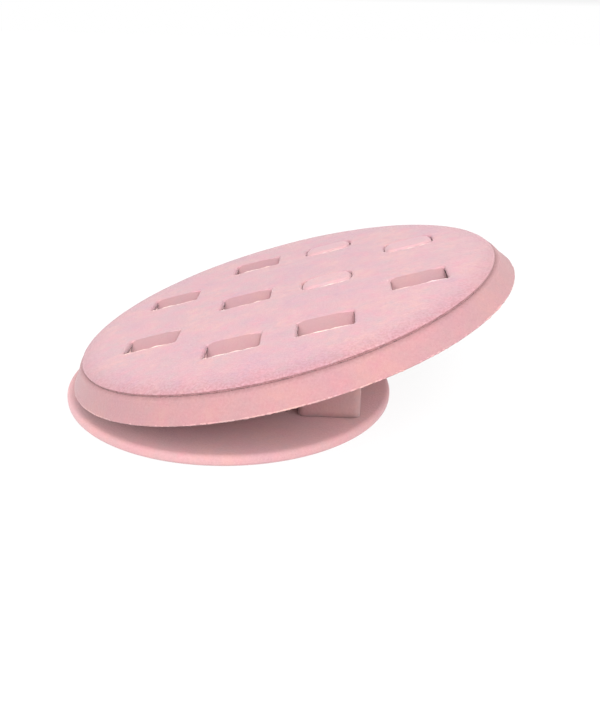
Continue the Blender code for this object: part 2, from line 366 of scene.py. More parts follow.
def velvet(name, main, patch=1.0, grain=1.0, painted_sheen=0.3, seam=None):
    """Flocked velvet: large warm and cool patches, pile brushed this way and that, fine grain,
    and a painted sheen, pale where the surface is seen edge on. seam gives the painted shade
    that darkens it towards the tray's seam: start, end, power and strength."""
    material, shader = new_material(name)
    add, links = node_maker(material)
    place = add("ShaderNodeTexCoord").outputs["Object"]
    cool = tint(main, 0.87, 0.88, 1.00)
    warm = tint(main, 1.12, 1.10, 0.96)
    rosy = tint(main, 1.10, 0.88, 0.95)
    grey = tint(main, 0.84, 1.04, 1.00)
    pale = tint(main, 1.20, 1.34, 1.32)
    deep = tint(main, 0.66, 0.56, 0.56)
    flecks = noise_layer(add, links, place, *FLECKS)
    fibres = noise_layer(add, links, place, *FIBRES)
    warmth = blend_colours(add, links, noise_layer(add, links, place, *PATCHES), cool, warm)
    roses = blend_colours(add, links, noise_layer(add, links, place, *BLOTCHES), grey, rosy)
    mixed = blend_colours(add, links, noise_layer(add, links, place, *BRUSHED), warmth, roses)
    toned = add("ShaderNodeMix", data_type="RGBA")
    toned.inputs[0].default_value = patch
    toned.inputs[6].default_value = (*main, 1.0)
    links.new(mixed, toned.inputs[7])
    tone = blend_colours(add, links, flecks, toned.outputs[2], pale, FLECK_SHARE * grain)
    tone = blend_colours(add, links, fibres, tone, deep, FIBRE_SHARE * grain)
    # Painted shade: the colour darkens towards the tray's seam.
    if seam:
        seam_darkening = painted_seam_shade(add, links, place, flecks, *seam[:3])
        tone = blend_colours(add, links, seam_darkening, tone, deep, seam[3])
    # Painted sheen: the base colour turns pale where the surface is seen edge on.
    facing = add("ShaderNodeLayerWeight", Blend=0.35)
    tone = blend_colours(add, links, facing.outputs["Facing"], tone, pale, painted_sheen)
    links.new(tone, shader.inputs["Base Color"])
    shader.inputs["Roughness"].default_value = 0.95
    shader.inputs["Specular IOR Level"].default_value = 0.12
    shader.inputs["Sheen Weight"].default_value = SHEEN
    shader.inputs["Sheen Roughness"].default_value = 0.45
    shader.inputs["Sheen Tint"].default_value = (1.0, 0.90, 0.92, 1.0)
    tall = add("ShaderNodeMath", operation="MULTIPLY_ADD")
    links.new(fibres, tall.inputs[0])
    tall.inputs[1].default_value = FIBRE_HEIGHT
    links.new(flecks, tall.inputs[2])
    roughen(add, links, shader, tall.outputs[0], VELVET_BUMP_STRENGTH * grain, VELVET_BUMP)
    return material


def plain_surface(name, first, second, scale, roughness, bump_distance, stretch=(1.0, 1.0, 1.0)):
    """A matt procedural surface of two tones, for the parts inside the stand."""
    material, shader = new_material(name)
    add, links = node_maker(material)
    mapping = add("ShaderNodeMapping")
    mapping.inputs["Scale"].default_value = stretch
    links.new(add("ShaderNodeTexCoord").outputs["Object"], mapping.inputs["Vector"])
    place = mapping.outputs["Vector"]
    broad = noise_layer(add, links, place, scale, 5.0, 0.35, 0.65)
    fine = noise_layer(add, links, place, scale * 9.0, 4.0, 0.30, 0.70)
    tone = blend_colours(add, links, broad, first, second, 0.8)
    tone = blend_colours(add, links, fine, tone, second, 0.35)
    links.new(tone, shader.inputs["Base Color"])
    rough = add("ShaderNodeMapRange")
    rough.inputs["To Min"].default_value = roughness - ROUGHNESS_SPREAD
    rough.inputs["To Max"].default_value = min(roughness + ROUGHNESS_SPREAD, 1.0)
    links.new(fine, rough.inputs["Value"])
    links.new(rough.outputs["Result"], shader.inputs["Roughness"])
    roughen(add, links, shader, fine, 0.5, bump_distance)
    return material


# Painted shade by the seam, on the pad and on the skirt: start, end, power and strength.
PAD_SEAM_SHADE = (SEAM_RADIUS - 14.0, SEAM_RADIUS + 0.2, 2.3, 0.95)
SKIRT_SEAM_SHADE = (SEAM_RADIUS + 2.2, SEAM_RADIUS - 0.1, 1.8, 0.85)
# Painted shade: the skirt's pink is a darker copy of the pad's velvet, for the shade on its steep outward
# sides.
SHADED_SKIRT_PINK = (0.308, 0.163, 0.170)
# Painted shade: pressed tongues are a darker copy of the tongue velvet, for the shade on their faces that
# slope into the pockets.
SHADED_TONGUE_PINK = (0.318, 0.180, 0.190)
PAD_VELVET = velvet("pad_velvet", (0.415, 0.236, 0.260), seam=PAD_SEAM_SHADE)
SKIRT_VELVET = velvet("skirt_velvet", SHADED_SKIRT_PINK, patch=0.5, grain=0.8, painted_sheen=0.45, seam=SKIRT_SEAM_SHADE)
BASE_VELVET = velvet("base_velvet", (0.470, 0.264, 0.274), patch=0.5, grain=0.8, painted_sheen=0.3)
# Painted shade: the neck wrap is a darker copy of the base's velvet, for the shade under the tray.
NECK_VELVET = velvet("neck_velvet", (0.360, 0.200, 0.202), patch=0.5, grain=0.7, painted_sheen=0.3)
TONGUE_LEVEL = velvet("tongue_velvet", (0.425, 0.250, 0.272), patch=0.6, grain=0.6)
TONGUE_PRESSED_SHADED = velvet("tongue_velvet_shaded", SHADED_TONGUE_PINK, patch=0.4, grain=0.35, painted_sheen=0.2)
# Painted light: the pocket linings are a paler copy of the velvet, which lifts the shade inside the pockets.
LIGHTENED_LINER_VELVET = velvet("liner_velvet", (0.620, 0.385, 0.390), patch=0.4, grain=0.5, painted_sheen=0.2)
# Partly painted highlight: the cut pile is paler than the pad, for the light caught along the near edges.
CUT_PILE_HIGHLIGHT = velvet("cut_pile_painted_highlight", (0.590, 0.425, 0.400), grain=1.0, painted_sheen=0.4)
HEM_VELVET = velvet("hem_velvet", (0.420, 0.240, 0.240), grain=1.2, painted_sheen=0.4)

ALONG_GRAIN = (1.0, 1.0, 4.0)
DRAWN_OUT = (1.0, 12.0, 1.0)
FELT = plain_surface("underside_felt", (0.38, 0.20, 0.21), (0.31, 0.16, 0.17), 260.0, 0.95, 0.0003)
BOARD = plain_surface("fibre_board", (0.50, 0.36, 0.24), (0.40, 0.28, 0.18), 320.0, 0.8, 0.0002, ALONG_GRAIN)
FOAM = plain_surface("pad_foam", (0.92, 0.88, 0.78), (0.80, 0.74, 0.62), 420.0, 0.95, 0.0004)
LEAF = plain_surface("leaf_plastic", (0.82, 0.82, 0.79), (0.72, 0.72, 0.69), 150.0, 0.45, 0.00004, DRAWN_OUT)


def paint_node(name, material):
    """Give a CAD node a procedural material in place of its plain one."""
    mesh = NODES[name].data
    mesh.materials.clear()
    mesh.materials.append(material)


for cad_name, cad_material in (
    ("base_felt", FELT),
    ("tray_lining", FELT),
    ("base_board", BOARD),
    ("neck_block", BOARD),
    ("tray_board", BOARD),
    ("pad_foam", FOAM),
    ("base_cover", BASE_VELVET),
    ("neck_wrap", NECK_VELVET),
    ("skirt_cover", SKIRT_VELVET),
    ("pad_cover", PAD_VELVET),
):
    paint_node(cad_name, cad_material)
for number in POCKETS:
    paint_node(f"pocket_liner_{number}", LIGHTENED_LINER_VELVET)
    paint_node(f"tongue_cover_{number}", TONGUE_LEVEL)
    paint_node(f"tongue_leaf_{number}", LEAF)


# ---------------- pad cover

# The pad's edge is a roll of this width and height, and the rest a shallow dome.
ROLL_WIDTH = 10.4
ROLL_HEIGHT = 1.6
ROLL_START = SEAM_RADIUS - ROLL_WIDTH
DOME_HEIGHT = 0.45
PRESSURE_LIFT = 0.30
CROWN_CELL = 4.0
BAG_DEPTH = 4.0
RIM_HOLD = 4.0
SLOT_HOLD = 1.2
CLOTH_FRAMES = 20
CLOTH_PRESSURE = 4.0
NEAR_LIP = 0.8
FAR_LIP_RUN = 1.1
FAR_LIP_RADIUS = 2.1
LEVEL_LIP_DROP = 0.16
LIP_DEPTH = 1.6
RIDGE_HEIGHT = 0.12
RIDGE_OUT = 1.5
RIDGE_WIDTH = 1.1
# How far in and down each ring of the pad's tucked edge lies from the one before.
EDGE_TUCKS = ((0.04, 0.12), (0.22, 0.16), (0.50, 0.10), (0.05, 0.35))
LIP_OFFSETS = (0.0, 0.10, 0.25, 0.45, 0.70, 1.05, 1.6, 2.4)
PAD_AROUND = 300
PAD_SPACING = 1.5
PAD_JITTER = 0.1
ROLL_CLEAR = 0.8
LIP_CLEAR = 0.7
ROW_RATIO = 0.866
PAD_THICKNESS = 0.45
ROLL_ANGLES = (0.0, 9.0, 18.0, 27.0, 35.0, 43.0, 50.0, 57.0, 63.0, 69.0, 74.0, 79.0, 83.0, 86.5, 90.0)


def crown_bag(reach):
    """The bag that the simulation inflates, the points it is held at, and where each
    of its points lies on the grid: two flat sheets joined round their edges."""
    size = 2 * reach + 1
    index = {}
    points = []
    pinned = []
    for layer, height in enumerate((0.0, -BAG_DEPTH)):
        for row in range(size):
            for column in range(size):
                u = (column - reach) * CROWN_CELL
                v = (row - reach) * CROWN_CELL
                radius = math.hypot(u, v)
                if radius > SEAM_RADIUS:
                    continue
                index[(layer, row, column)] = len(points)
                if layer == 1 or radius > ROLL_START + RIM_HOLD or slot_distance(u, v)[0] < SLOT_HOLD:
                    pinned.append(len(points))
                points.append((u, v, height))
    faces = []
    for layer in (0, 1):
        for row in range(size - 1):
            for column in range(size - 1):
                corners = ((row, column), (row, column + 1), (row + 1, column + 1), (row + 1, column))
                keys = [(layer, *corner) for corner in corners]
                if all(key in index for key in keys):
                    ring = [index[key] for key in keys]
                    faces.append(ring if layer == 0 else ring[::-1])
    mesh = bpy.data.meshes.new("crown_bag")
    mesh.from_pydata([(u * MM, v * MM, n * MM) for u, v, n in points], [], faces)
    bag = bpy.data.objects.new("crown_bag", mesh)
    bpy.context.scene.collection.objects.link(bag)
    bm = bmesh.new()
    bm.from_mesh(mesh)
    bmesh.ops.bridge_loops(bm, edges=[edge for edge in bm.edges if edge.is_boundary])
    bm.to_mesh(mesh)
    bm.free()
    return bag, pinned, index


def blow_up_crown():
    """Heights by which the foam's pressure lifts the cover, from a cloth simulation.

    A closed bag is held at its rim, below, and round every pocket, and is inflated
    with no gravity. Returns a grid of lifts, and the number of cells from its middle
    to its edge.
    """
    reach = int(SEAM_RADIUS / CROWN_CELL) + 2
    lifts = np.zeros((2 * reach + 1, 2 * reach + 1))
    bag, pinned, index = crown_bag(reach)
    bag.vertex_groups.new(name="held").add(pinned, 1.0, "REPLACE")
    cloth = bag.modifiers.new("pressure", "CLOTH")
    settings = cloth.settings
    settings.quality = 5
    settings.mass = 0.05
    settings.vertex_group_mass = "held"
    settings.use_pressure = True
    settings.uniform_pressure_force = CLOTH_PRESSURE
    settings.tension_stiffness = 8.0
    settings.compression_stiffness = 8.0
    settings.shear_stiffness = 4.0
    settings.bending_stiffness = 0.4
    settings.effector_weights.gravity = 0.0
    cloth.collision_settings.use_collision = False
    cloth.point_cache.frame_start = 1
    cloth.point_cache.frame_end = CLOTH_FRAMES
    scene = bpy.context.scene
    for step in range(1, CLOTH_FRAMES + 1):
        scene.frame_set(step)
    graph = bpy.context.evaluated_depsgraph_get()
    blown = bag.evaluated_get(graph).data
    for (layer, row, column), vertex in index.items():
        if layer == 0:
            lifts[row, column] = blown.vertices[vertex].co.z / MM
    scene.frame_set(1)
    mesh = bag.data
    bpy.data.objects.remove(bag, do_unlink=True)
    bpy.data.meshes.remove(mesh)
    lifts = np.clip(lifts, 0.0, None)
    print("highest lift of the crown before scaling, mm:", round(float(lifts.max()), 3))
    return lifts * (PRESSURE_LIFT / max(lifts.max(), PRESSURE_LIFT)), reach


CROWN, CROWN_REACH = blow_up_crown()


def through(a, b, c, d, t):
    """Catmull-Rom value between b and c."""
    bend = 2 * a - 5 * b + 4 * c - d
    twist = 3 * b - a - 3 * c + d
    return 0.5 * (2 * b + (c - a) * t + bend * t * t + twist * t**3)


def pressure_lift(u, v):
    """Smooth lift of the cover at a place, from the grid of simulated lifts."""
    x = u / CROWN_CELL + CROWN_REACH
    y = v / CROWN_CELL + CROWN_REACH
    column = min(max(int(x), 1), CROWN.shape[1] - 3)
    row = min(max(int(y), 1), CROWN.shape[0] - 3)
    lines = CROWN[row - 1 : row + 3, column - 1 : column + 3]
    return through(*[through(*line, x - column) for line in lines], y - row)


def pad_dome(u, v):
    """Height of the pad cover over the rim plane, away from the pockets."""
    radius = math.hypot(u, v)
    t = min(max((radius - ROLL_START) / ROLL_WIDTH, 0.0), 1.0)
    height = SEAM_HEIGHT + ROLL_HEIGHT * math.sqrt(1.0 - t * t)
    height += DOME_HEIGHT * (1.0 - (radius / SEAM_RADIUS) ** 2)
    height += pressure_lift(u, v)
    height += 0.09 * wander(u, v, 0.0, 19.0, 3.0) + 0.045 * wander(u, v, 0.0, 6.0, 8.0)
    return height + 0.018 * wander(u, v, 0.0, 1.9, 5.0)


def round_off(distance, run, radius):
    """Fall of a surface that starts to round over at run from an edge."""
    inside = max(run - distance, 0.0)
    return radius - math.sqrt(max(radius**2 - inside**2, 0.0))


def lip_drop(distance, number, local_u, local_v):
    """How far the cover falls as it rounds the edge of an opening."""
    near = round_off(distance, NEAR_LIP, NEAR_LIP)
    if POCKET[number]["level"]:
        far = LEVEL_LIP_DROP * max(1.0 - distance / FAR_LIP_RUN, 0.0) ** 2
    else:
        far = round_off(distance, FAR_LIP_RUN, FAR_LIP_RADIUS)
    share = smoothstep(SLOT_HALF_WIDTH - 1.0, SLOT_HALF_WIDTH - 0.05, local_v)
    share *= 1.0 - smoothstep(SLOT_HALF_LENGTH - 0.5, SLOT_HALF_LENGTH + 0.1, abs(local_u))
    return near + (far - near) * share


def pad_height(u, v):
    """Height of the pad cover over the rim plane, with the soft lip of the nearest
    opening and the low ridge round it, which fades towards the opening's far side."""
    height = pad_dome(u, v)
    distance, number, local_u, local_v = slot_distance(u, v)
    if number is not None:
        height -= lip_drop(max(distance, 0.0), number, local_u, local_v)
        ridge = RIDGE_HEIGHT * math.exp(-(((distance - RIDGE_OUT) / RIDGE_WIDTH) ** 2))
        height += ridge * (1.0 - smoothstep(4.0, 6.0, local_v))
    return height


def tuck_under(point, shrink, fall):
    """A point of the pad's edge moved inwards and down, with small puckers."""
    radius = math.hypot(point[0], point[1])
    scale = (radius - shrink) / radius
    pucker = 0.07 * wander(point[0], point[1], 0.0, 2.2, 4.0)
    return (point[0] * scale, point[1] * scale, point[2] - fall + pucker)


def pad_plan():
    """The pad cover seen from above: its points, the edges that its triangles keep,
    the outermost ring of points, and the ring round each opening."""
    flat = []
    edges = []

    def add_closed(points):
        start = len(flat)
        flat.extend(points)
        count = len(points)
        edges.extend((start + step, start + (step + 1) % count) for step in range(count))
        return list(range(start, start + count))

    turns = [2.0 * math.pi * step / PAD_AROUND for step in range(PAD_AROUND)]
    for roll_angle in ROLL_ANGLES:
        radius = ROLL_START + ROLL_WIDTH * math.sin(math.radians(roll_angle))
        outer_ring = add_closed([(radius * math.cos(turn), radius * math.sin(turn)) for turn in turns])
    slot_rings = []
    for pocket in POCKET.values():
        for offset in LIP_OFFSETS:
            spacing = 0.55 + 0.2 * offset
            loop = loop_offset(SLOT_HALF_LENGTH, SLOT_HALF_WIDTH, pocket["corner"], offset, spacing)
            ring = add_closed([(u + pocket["u"], v + pocket["v"]) for u, v in loop])
            if offset == 0.0:
                slot_rings.append(ring)
    rows = int(ROLL_START / (PAD_SPACING * ROW_RATIO)) + 1
    columns = int(ROLL_START / PAD_SPACING) + 1
    roll_edge = ROLL_START - ROLL_CLEAR
    lip_edge = LIP_OFFSETS[-1] + LIP_CLEAR
    uneven = random.Random(11)
    for row in range(-rows, rows + 1):
        v = row * PAD_SPACING * ROW_RATIO
        for column in range(-columns, columns + 1):
            u = (column + 0.5 * (row % 2)) * PAD_SPACING
            if math.hypot(u, v) > roll_edge or slot_distance(u, v)[0] < lip_edge:
                continue
            u += uneven.uniform(-PAD_JITTER, PAD_JITTER)
            flat.append((u, v + uneven.uniform(-PAD_JITTER, PAD_JITTER)))
    return flat, edges, outer_ring, slot_rings


def build_pad():
    """The pad cover: a thin shell with a rolled edge and ten soft lipped openings."""
    flat, edges, outer_ring, slot_rings = pad_plan()
    cut = delaunay_2d_cdt([Vector(place) for place in flat], edges, [], 0, 1e-5)
    places, faces, origins = cut[0], cut[2], cut[3]
    found = {old: new for new, olds in enumerate(origins) for old in olds}
    kept = []
    for face in faces:
        u = sum(places[corner][0] for corner in face) / 3.0
        v = sum(places[corner][1] for corner in face) / 3.0
        if slot_distance(u, v)[0] > 0.0:
            kept.append(tuple(face))
    points = [(place[0], place[1], pad_height(place[0], place[1])) for place in places]

    def extend(ring, move):
        """A new ring of moved points, joined to the ring it starts from."""
        after = list(range(len(points), len(points) + len(ring)))
        points.extend([move(points[corner]) for corner in ring])
        band(kept, ring, after)
        return after

    edge = [found[old] for old in outer_ring]
    for shrink, fall in EDGE_TUCKS:
        edge = extend(edge, lambda point: tuck_under(point, shrink, fall))
    for ring in slot_rings:
        lip = [found[old] for old in ring]
        extend(lip, lambda point: (point[0], point[1], pad_dome(point[0], point[1]) - LIP_DEPTH))

    pad = make_piece("velvet_pad", points, kept, PAD_VELVET, body=None)
    middle = max(pad.data.polygons, key=lambda face: face.center.z)
    if middle.normal.dot(NORMAL) < 0.0:
        pad.data.flip_normals()
    shell = pad.modifiers.new("cloth thickness", "SOLIDIFY")
    shell.thickness = PAD_THICKNESS * MM
    shell.offset = -1.0
    apply_modifiers(pad)
    pad.data.shade_smooth()
    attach(pad, STAND)
    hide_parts("pad_cover")


# ---------------- tongues

# Half widths of a tongue at its left and right ends, and how much wider it gets below.
TONGUE_LEFT = SLOT_HALF_LENGTH - 0.07
TONGUE_RIGHT = SLOT_HALF_LENGTH - 0.22
TONGUE_FLARE = 0.26
TONGUE_ACROSS = 36
WELT_HEIGHT = 0.38
WELT_INSET = 1.05
WELT_WIDTH = 0.55
TONGUE_HALF_THICKNESS = 1.05
TONGUE_LENGTH = 11.6
TONGUE_STEPS = 30
TIP_CORNER = 2.2
ROOT_RUN = 0.9
ROOT_STEPS = 6
PRESSED_ANGLE = 27.5
PRESSED_SWAY = 2.0
LEVEL_SIDES = (14.0, 14.0)
PRESSED_SIDES = (14.0, 5.0)
LEAF_SIDES = (12.0, 12.0)
PILL_HEIGHT = 0.60
PILL_EDGE = 2.6
BLEND_LENGTH = 3.4
LEAF_HALF_WIDTH = 6.8
LEAF_HALF_THICKNESS = 0.28
LEAF_ACROSS = 12
LEAF_START = BLEND_LENGTH + 0.3
LEAF_END = TONGUE_LENGTH - 1.6
PILE_AROUND = 6
CUT_STEPS = 90
LINER_ROWS = 7
LINER_ROUND = 0.25


def tongue_line(level):
    """Stations (v, n, angle, along) of a tongue's top from under the far lip to its tip.

    v is measured from the pocket's middle, n from the pad's surface there, and
    angle is the fall of the tongue towards the front, in radians.
    """
    stations = []
    for step in range(ROOT_STEPS + 1):
        beyond = ROOT_RUN * (1.0 - step / ROOT_STEPS)
        buried = 0.16 * smoothstep(0.2, ROOT_RUN, beyond) - 0.03
        if level:
            fall = LEVEL_LIP_DROP * max(1.0 - beyond / FAR_LIP_RUN, 0.0) ** 2
            angle = 0.0
        else:
            fall = round_off(beyond, FAR_LIP_RUN, FAR_LIP_RADIUS)
            angle = math.asin((FAR_LIP_RUN - beyond) / FAR_LIP_RADIUS)
        stations.append((SLOT_HALF_WIDTH + beyond, -fall - buried, angle, -beyond))
    v, n = stations[-1][:2]
    before = 0.0
    for step in range(1, TONGUE_STEPS + 1):
        along = TONGUE_LENGTH * math.sin(math.pi / 2.0 * step / TONGUE_STEPS)
        run = along - before
        before = along
        if level:
            angle = 0.0
        else:
            angle = math.radians(PRESSED_ANGLE) + math.radians(PRESSED_SWAY) * math.sin(along * 0.5)
        v -= run * math.cos(angle)
        n -= run * math.sin(angle)
        stations.append((v, n, angle, along))
    return stations


def tongue_shape(level, left, right, half_thick, depth, first, last, across, sides):
    """A closed lofted body along part of a tongue, centred depth below its top line.

    left and right are its half widths, and sides says how square its two edges are.
    """
    line = tongue_line(level)[first:last]
    start_along = line[0][3]
    end_along = line[-1][3]
    points = []
    rings = []
    for v, n, angle, along in line:
        to_tip = end_along - along
        nose = min(to_tip / half_thick, 1.0)
        heel = min((along - start_along) / (0.5 * half_thick), 1.0)
        thick = half_thick * math.sqrt(max(1.0 - (1.0 - nose) ** 2, 0.03))
        thick *= math.sqrt(max(1.0 - (1.0 - heel) ** 2, 0.10))
        ends = [(to_tip, TIP_CORNER)]
        if level:
            ends = [(max(SLOT_HALF_WIDTH - v, 0.0), PILL_CORNER), (v + SLOT_HALF_WIDTH, PILL_CORNER)]
        narrower = 0.0
        for distance, radius in ends:
            if distance < radius:
                narrower += radius - math.sqrt(max(radius**2 - (radius - distance) ** 2, 0.0))
        flare = TONGUE_FLARE * smoothstep(0.6, 1.6, -n) if across > LEAF_ACROSS else 0.0
        sink_v = depth * math.sin(angle)
        sink_n = depth * math.cos(angle)
        ring = []
        for side in (1.0, -1.0):
            steps = range(across + 1) if side > 0.0 else range(across - 1, 0, -1)
            for step in steps:
                share = math.sin(math.pi / 2.0 * (2.0 * step / across - 1.0))
                half_width = (right if share > 0.0 else left) - narrower + flare
                power = sides[1] if share > 0.0 else sides[0]
                rise = side * thick * math.sqrt(max(1.0 - abs(share) ** power, 0.0))
                out_v = v - sink_v + rise * math.sin(angle)
                out_n = n - sink_n + rise * math.cos(angle)
                ring.append(len(points))
                points.append((half_width * share, out_v, out_n))
        rings.append(ring)
    return points, capped(rings)


def build_tongue(number, pocket):
    """One padded tongue, and its leaf, which rides on the tongue's own body."""
    seed = 10.0 * number
    far = pocket["v"] + SLOT_HALF_WIDTH

    def pill(u, v):
        """Rise of a level tongue's top: a soft pill with round ends."""
        return PILL_HEIGHT * smoothstep(0.0, PILL_EDGE, -outside_opening(u, v, PILL_CORNER))

    def across_top(index):
        """Whether a point of the tongue's loft is on its upper side."""
        return index % (2 * TONGUE_ACROSS) <= TONGUE_ACROSS

    def placed(points, soft):
        """Points set on the pad's dome at the pocket's far side, and made uneven."""
        result = []
        for index, (u, v, n) in enumerate(points):
            root = smoothstep(SLOT_HALF_WIDTH - 2.5, SLOT_HALF_WIDTH, v)
            loose = soft * (1.0 - root)
            lift = loose * (0.08 * wander(u, v, n, 5.0, seed) + 0.02 * wander(u, v, n, 1.6, seed))
            if level and n > -TONGUE_HALF_THICKNESS:
                lift += soft * pill(u, v)
            if not level and across_top(index):
                from_welt = (u - TONGUE_RIGHT + WELT_INSET) / WELT_WIDTH
                lift += loose * WELT_HEIGHT * math.exp(-(from_welt**2))
            sway = soft * 0.07 * wander(u, v, n, 4.0, seed + 3.0)
            ground = pad_dome(u + pocket["u"], max(v + pocket["v"], far))
            result.append((u + pocket["u"] + sway, v + pocket["v"], n + ground + lift))
        return result

    level = pocket["level"]
    depth = TONGUE_HALF_THICKNESS
    sides = LEVEL_SIDES if level else PRESSED_SIDES
    shape = tongue_shape(level, TONGUE_LEFT, TONGUE_RIGHT, depth, depth, 0, None, TONGUE_ACROSS, sides)
    # Pressed tongues take the darker copy of the velvet: painted shade.
    material = TONGUE_LEVEL if level else TONGUE_PRESSED_SHADED
    tongue = make_piece(f"velvet_tongue_{number}", placed(shape[0], 1.0), shape[1], material, body=None)
    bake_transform(tongue)
    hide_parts(f"tongue_cover_{number}")

    line = tongue_line(level)
    first = next(index for index, station in enumerate(line) if station[3] > LEAF_START)
    last = next(index for index, station in enumerate(line) if station[3] > LEAF_END)
    wide = LEAF_HALF_WIDTH
    thick = LEAF_HALF_THICKNESS
    shape = tongue_shape(level, wide, wide, thick, depth, first, last, LEAF_ACROSS, LEAF_SIDES)
    body = f"tongue_{number}"
    leaf = make_piece(f"stiff_leaf_{number}", placed(shape[0], 0.0), shape[1], LEAF, body=body)
    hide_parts(f"tongue_leaf_{number}")


def build_liner(number, pocket):
    """The lining of one pocket: soft upright walls and a floor."""
    seed = 7.0 * number
    bottom = pocket["bottom"]
    top = pocket["top"] - LIP_DEPTH + NEAR_LIP
    points = []
    rings = []

    def add_ring(offset, height, soft):
        ring = []
        for u, v in loop_offset(SLOT_HALF_LENGTH, SLOT_HALF_WIDTH, SLOT_CORNER, offset, 1.0)[:ring_count]:
            ease = 1.0 + soft * 0.008 * wander(u, v, height, 4.0, seed)
            ring.append(len(points))
            points.append((u * ease + pocket["u"], v * ease + pocket["v"], height))
        rings.append(ring)

    outer = COVER_EASE + LINER_WALL
    inner = COVER_EASE
    ring_count = len(loop_offset(SLOT_HALF_LENGTH, SLOT_HALF_WIDTH, SLOT_CORNER, inner, 1.0))
    add_ring(outer, bottom, 0.0)
    add_ring(outer, top - LINER_ROUND, 0.0)
    add_ring(outer - LINER_ROUND, top, 0.0)
    add_ring(inner + LINER_ROUND, top, 0.0)
    for row in range(LINER_ROWS + 1):
        height = top - LINER_ROUND + (bottom + LINER_WALL - top + LINER_ROUND) * row / LINER_ROWS
        add_ring(inner, height, math.sin(math.pi * row / LINER_ROWS))
    liner = make_piece(f"velvet_pocket_{number}", points, capped(rings), LIGHTENED_LINER_VELVET)
    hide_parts(f"pocket_liner_{number}")


def build_cut_edge(number, pocket):
    """Loose pile along the near edge of an opening, where the cover was cut. Its pale colour is partly the
    pile's own and partly a painted highlight where the edge catches the light.
    """
    seed = 5.0 * number
    reach = 0.55 * SLOT_HALF_LENGTH if pocket["level"] else SLOT_HALF_LENGTH - 0.5
    shift = 0.25 * SLOT_HALF_LENGTH if pocket["level"] else 0.0
    points = []
    rings = []
    for step in range(CUT_STEPS + 1):
        share = 2.0 * step / CUT_STEPS - 1.0
        u = shift + reach * share
        v = -SLOT_HALF_WIDTH - 0.36 + 0.07 * wander(u, 0.0, 0.0, 0.9, seed)
        full = 1.0 - abs(share) ** 6
        size = max(0.04 + 0.15 * full * (0.40 + 1.5 * wander(u, 1.0, 0.0, 2.2, seed)), 0.02)
        ground = pad_dome(u + pocket["u"], v + pocket["v"])
        n = ground - 0.04 + 0.3 * size
        ring = []
        for turn in range(PILE_AROUND):
            angle = 2.0 * math.pi * turn / PILE_AROUND
            ragged = size * (1.0 + 0.35 * wander(u, turn * 1.7, 0.0, 0.35, seed))
            side = v + pocket["v"] + ragged * math.cos(angle)
            ring.append(len(points))
            points.append((u + pocket["u"], side, n + ragged * math.sin(angle)))
        rings.append(ring)
    edge = make_piece(f"cut_edge_{number}", points, capped(rings), CUT_PILE_HIGHLIGHT)


# ---------------- skirt, base and neck

HEM_PROUD = 0.35
CREST_DROP = 0.80
NECK_CORNER = 2.2
NECK_WALL = 0.8
NECK_ROWS = 14
CURVE_STEPS = 4
PILE_STEPS = 1500
SKIRT_STEPS = 420
BASE_STEPS = 300


def turned(profile, segments, shake):
    """Turn a closed (radius, height) profile; shake gives each point a small shift."""
    points = []
    rings = []
    for step in range(segments):
        angle = 2.0 * math.pi * step / segments
        cosine = math.cos(angle)
        sine = math.sin(angle)
        ring = []
        for radius, height in profile:
            radial, rise = shake(radius * cosine, radius * sine, height)
            ring.append(len(points))
            points.append(((radius + radial) * cosine, (radius + radial) * sine, height + rise))
        rings.append(ring)
    return points, looped(rings)


def curve(points, steps):
    """A smooth open curve through points, by Catmull-Rom."""
    result = []
    for index in range(len(points) - 1):
        before = points[max(index - 1, 0)]
        behind = points[min(index + 2, len(points) - 1)]
        spans = list(zip(before, points[index], points[index + 1], behind))
        for step in range(steps):
            result.append(tuple(through(*span, step / steps) for span in spans))
    result.append(points[-1])
    return result


def build_pile(name, radius, height, size, material):
    """A ragged ring of loose pile round the tray; size is its half thickness."""
    points = []
    rings = []
    for step in range(PILE_STEPS):
        angle = 2.0 * math.pi * step / PILE_STEPS
        x = radius * math.cos(angle)
        y = radius * math.sin(angle)
        thick = size * (1.0 + 0.5 * wander(x, y, 0.0, 0.9, 2.0) + 0.3 * wander(x, y, 0.0, 3.1, 5.0))
        ring = []
        for turn in range(PILE_AROUND):
            side = 2.0 * math.pi * turn / PILE_AROUND
            ragged = thick * (1.0 + 0.45 * wander(x, y, turn * 2.3, 0.5, 7.0))
            far = radius + ragged * math.cos(side)
            ring.append(len(points))
            points.append((far * math.cos(angle), far * math.sin(angle), height + ragged * math.sin(side)))
        rings.append(ring)
    pile = make_piece(name, points, looped(rings), material)


